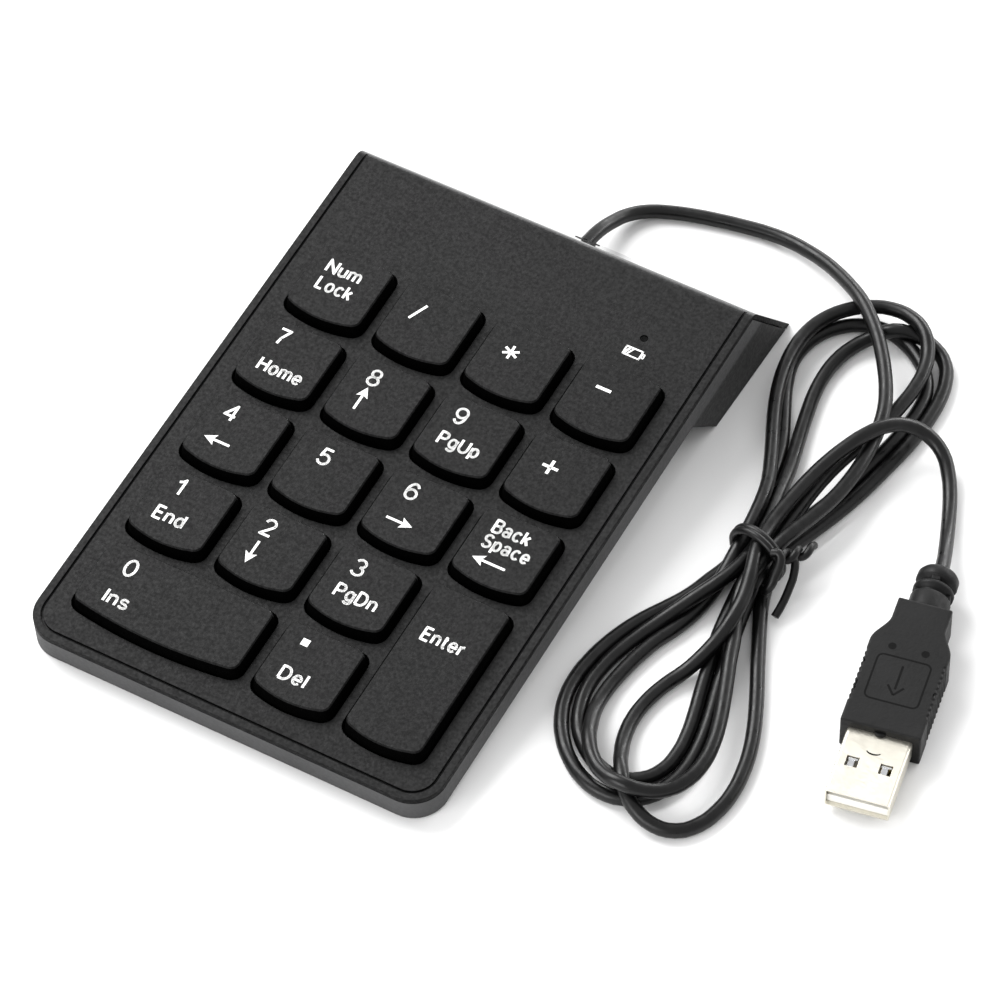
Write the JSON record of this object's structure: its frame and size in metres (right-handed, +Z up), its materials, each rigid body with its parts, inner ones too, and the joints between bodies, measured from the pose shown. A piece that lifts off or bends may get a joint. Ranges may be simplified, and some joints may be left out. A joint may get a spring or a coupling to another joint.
{
  "type": "numeric keypad",
  "caption": "Slim sloping wired numeric keypad: low keys with bowed front edges on a grooved slab, a leaning rear foot, and a thin cable tied in a hank that ends in a flat plug.",
  "frame": {"origin": "on the table, under the middle of the keypad's own box, without its cable", "axes": "+X to the user's right, +Y away from the user to the rear, +Z up"},
  "size_m": [0.1557, 0.1578, 0.0185],
  "materials": {
    "case_plastic": "fine-grained matt charcoal plastic",
    "case_plastic_lower": "matt charcoal plastic",
    "key_plastic": "fine-grained matt charcoal plastic",
    "legend_ink": "white printed ink",
    "silicone": "translucent matt silicone",
    "film": "clear polyester film with printed tracks",
    "steel_sheet": "zinc-plated sheet",
    "board_laminate": "green solder mask",
    "chip_plastic": "moulded epoxy",
    "tinned_parts": "tinned component bodies",
    "led_body": "clear moulded body",
    "lens_plastic": "smoked clear plastic",
    "connector_nylon": "natural nylon",
    "wire_insulation": "coloured PVC",
    "spring_steel": "bright drawn wire",
    "screw_steel": "zinc-plated",
    "foot_rubber": "matt black rubber",
    "cable_pvc": "semi-gloss black PVC",
    "tie_pvc": "black PVC over wire",
    "grip_pvc": "soft black PVC",
    "shell_metal": "nickel-plated steel",
    "insulator_plastic": "white plastic",
    "contact_gold": "gold-plated"
  },
  "bodies": {
    "housing": {"top_cover": "case_plastic", "bottom_case": "case_plastic_lower", "silicone_domes": "silicone", "membrane_top": "film", "membrane_spacer": "film", "membrane_bottom": "film", "backing_plate": "steel_sheet", "circuit_board": "board_laminate", "controller_chip": "chip_plastic", "board_parts": "tinned_parts", "status_led": "led_body", "led_lens": "lens_plastic", "membrane_clamp": "chip_plastic", "cable_connector": "connector_nylon", "cable_wires": "wire_insulation", "case_screws": "screw_steel", "tail_screws": "screw_steel", "board_screws": "screw_steel", "front_feet": "foot_rubber", "rear_feet": "foot_rubber", "cable_gland": "grip_pvc", "cord_lead": "cable_pvc", "cord_hank": "cable_pvc", "cord_to_plug": "cable_pvc", "twist_tie": "tie_pvc", "plug_grip": "grip_pvc", "plug_shell": "shell_metal", "plug_insulator": "insulator_plastic", "plug_contacts": "contact_gold"},
    "key_num_lock_body": {"key_num_lock": "key_plastic"},
    "key_divide_body": {"key_divide": "key_plastic"},
    "key_multiply_body": {"key_multiply": "key_plastic"},
    "key_minus_body": {"key_minus": "key_plastic"},
    "key_7_body": {"key_7": "key_plastic"},
    "key_8_body": {"key_8": "key_plastic"},
    "key_9_body": {"key_9": "key_plastic"},
    "key_plus_body": {"key_plus": "key_plastic"},
    "key_4_body": {"key_4": "key_plastic"},
    "key_5_body": {"key_5": "key_plastic"},
    "key_6_body": {"key_6": "key_plastic"},
    "key_backspace_body": {"key_backspace": "key_plastic"},
    "key_1_body": {"key_1": "key_plastic"},
    "key_2_body": {"key_2": "key_plastic"},
    "key_3_body": {"key_3": "key_plastic"},
    "key_enter_body": {"key_enter": "key_plastic"},
    "key_0_body": {"key_0": "key_plastic"},
    "key_decimal_body": {"key_decimal": "key_plastic"},
    "zero_wire_body": {"zero_stabilizer": "spring_steel"},
    "enter_wire_body": {"enter_stabilizer": "spring_steel"}
  },
  "joints": [
    {"name": "press_num_lock", "type": "slide", "parent": "housing", "child": "key_num_lock_body", "axis": [0, -0.1011, 0.9949], "range_m": [-0.002, 0], "stiffness_N_per_m": 150, "springref_m": 0.0015, "deforming": ["silicone_domes"]},
    {"name": "press_divide", "type": "slide", "parent": "housing", "child": "key_divide_body", "axis": [0, -0.1011, 0.9949], "range_m": [-0.002, 0], "stiffness_N_per_m": 150, "springref_m": 0.0015, "deforming": ["silicone_domes"]},
    {"name": "press_multiply", "type": "slide", "parent": "housing", "child": "key_multiply_body", "axis": [0, -0.1011, 0.9949], "range_m": [-0.002, 0], "stiffness_N_per_m": 150, "springref_m": 0.0015, "deforming": ["silicone_domes"]},
    {"name": "press_minus", "type": "slide", "parent": "housing", "child": "key_minus_body", "axis": [0, -0.1011, 0.9949], "range_m": [-0.002, 0], "stiffness_N_per_m": 150, "springref_m": 0.0015, "deforming": ["silicone_domes"]},
    {"name": "press_7", "type": "slide", "parent": "housing", "child": "key_7_body", "axis": [0, -0.1011, 0.9949], "range_m": [-0.002, 0], "stiffness_N_per_m": 150, "springref_m": 0.0015, "deforming": ["silicone_domes"]},
    {"name": "press_8", "type": "slide", "parent": "housing", "child": "key_8_body", "axis": [0, -0.1011, 0.9949], "range_m": [-0.002, 0], "stiffness_N_per_m": 150, "springref_m": 0.0015, "deforming": ["silicone_domes"]},
    {"name": "press_9", "type": "slide", "parent": "housing", "child": "key_9_body", "axis": [0, -0.1011, 0.9949], "range_m": [-0.002, 0], "stiffness_N_per_m": 150, "springref_m": 0.0015, "deforming": ["silicone_domes"]},
    {"name": "press_plus", "type": "slide", "parent": "housing", "child": "key_plus_body", "axis": [0, -0.1011, 0.9949], "range_m": [-0.002, 0], "stiffness_N_per_m": 150, "springref_m": 0.0015, "deforming": ["silicone_domes"]},
    {"name": "press_4", "type": "slide", "parent": "housing", "child": "key_4_body", "axis": [0, -0.1011, 0.9949], "range_m": [-0.002, 0], "stiffness_N_per_m": 150, "springref_m": 0.0015, "deforming": ["silicone_domes"]},
    {"name": "press_5", "type": "slide", "parent": "housing", "child": "key_5_body", "axis": [0, -0.1011, 0.9949], "range_m": [-0.002, 0], "stiffness_N_per_m": 150, "springref_m": 0.0015, "deforming": ["silicone_domes"]},
    {"name": "press_6", "type": "slide", "parent": "housing", "child": "key_6_body", "axis": [0, -0.1011, 0.9949], "range_m": [-0.002, 0], "stiffness_N_per_m": 150, "springref_m": 0.0015, "deforming": ["silicone_domes"]},
    {"name": "press_backspace", "type": "slide", "parent": "housing", "child": "key_backspace_body", "axis": [0, -0.1011, 0.9949], "range_m": [-0.002, 0], "stiffness_N_per_m": 150, "springref_m": 0.0015, "deforming": ["silicone_domes"]},
    {"name": "press_1", "type": "slide", "parent": "housing", "child": "key_1_body", "axis": [0, -0.1011, 0.9949], "range_m": [-0.002, 0], "stiffness_N_per_m": 150, "springref_m": 0.0015, "deforming": ["silicone_domes"]},
    {"name": "press_2", "type": "slide", "parent": "housing", "child": "key_2_body", "axis": [0, -0.1011, 0.9949], "range_m": [-0.002, 0], "stiffness_N_per_m": 150, "springref_m": 0.0015, "deforming": ["silicone_domes"]},
    {"name": "press_3", "type": "slide", "parent": "housing", "child": "key_3_body", "axis": [0, -0.1011, 0.9949], "range_m": [-0.002, 0], "stiffness_N_per_m": 150, "springref_m": 0.0015, "deforming": ["silicone_domes"]},
    {"name": "press_enter", "type": "slide", "parent": "housing", "child": "key_enter_body", "axis": [0, -0.1011, 0.9949], "range_m": [-0.002, 0], "stiffness_N_per_m": 150, "springref_m": 0.0015, "deforming": ["silicone_domes"]},
    {"name": "press_0", "type": "slide", "parent": "housing", "child": "key_0_body", "axis": [0, -0.1011, 0.9949], "range_m": [-0.002, 0], "stiffness_N_per_m": 150, "springref_m": 0.0015, "deforming": ["silicone_domes"]},
    {"name": "press_decimal", "type": "slide", "parent": "housing", "child": "key_decimal_body", "axis": [0, -0.1011, 0.9949], "range_m": [-0.002, 0], "stiffness_N_per_m": 150, "springref_m": 0.0015, "deforming": ["silicone_domes"]},
    {"name": "zero_wire_turn", "type": "hinge", "parent": "housing", "child": "zero_wire_body", "pos_m": [-0.01905, -0.05563, 0.00577], "axis": [1, 0, 0], "range_deg": [-14.56, 0]},
    {"name": "enter_wire_turn", "type": "hinge", "parent": "housing", "child": "enter_wire_body", "pos_m": [0.02689, -0.04448, 0.0069], "axis": [0, 0.9949, 0.1011], "range_deg": [0, 14.56]}
  ],
  "couplings": [
    {"joint": "zero_wire_turn", "follows": "press_0", "rad_per_m": 125.33},
    {"joint": "enter_wire_turn", "follows": "press_enter", "rad_per_m": -125.33}
  ]
}
